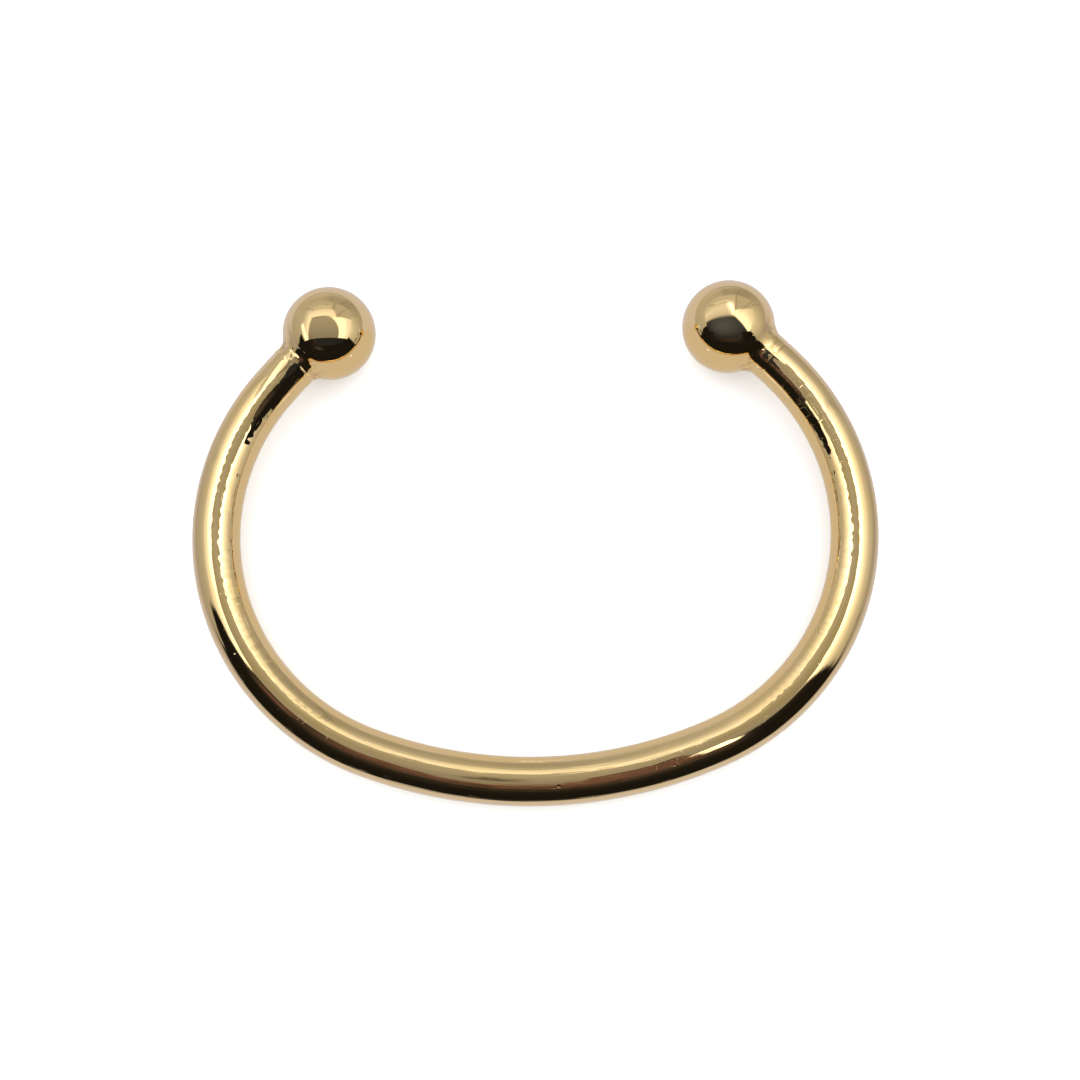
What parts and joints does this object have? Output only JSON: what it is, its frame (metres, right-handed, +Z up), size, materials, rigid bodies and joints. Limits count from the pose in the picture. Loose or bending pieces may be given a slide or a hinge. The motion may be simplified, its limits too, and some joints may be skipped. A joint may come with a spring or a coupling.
{
  "type": "torque bangle",
  "caption": "Open oval bangle of one round polished gold bar, with a solid ball soldered on each end and a gap between them for the wrist.",
  "frame": {"origin": "centre of the bangle's footprint on the surface it lies on", "axes": "+X across the hoop towards the ball on the right, +Y from the hoop's closed front to its two balls, +Z up from the surface"},
  "size_m": [0.0726, 0.0566, 0.0101],
  "materials": {
    "gold": "mirror-polished yellow gold"
  },
  "bodies": {
    "root": {"torque_bangle": "gold"}
  },
  "joints": []
}
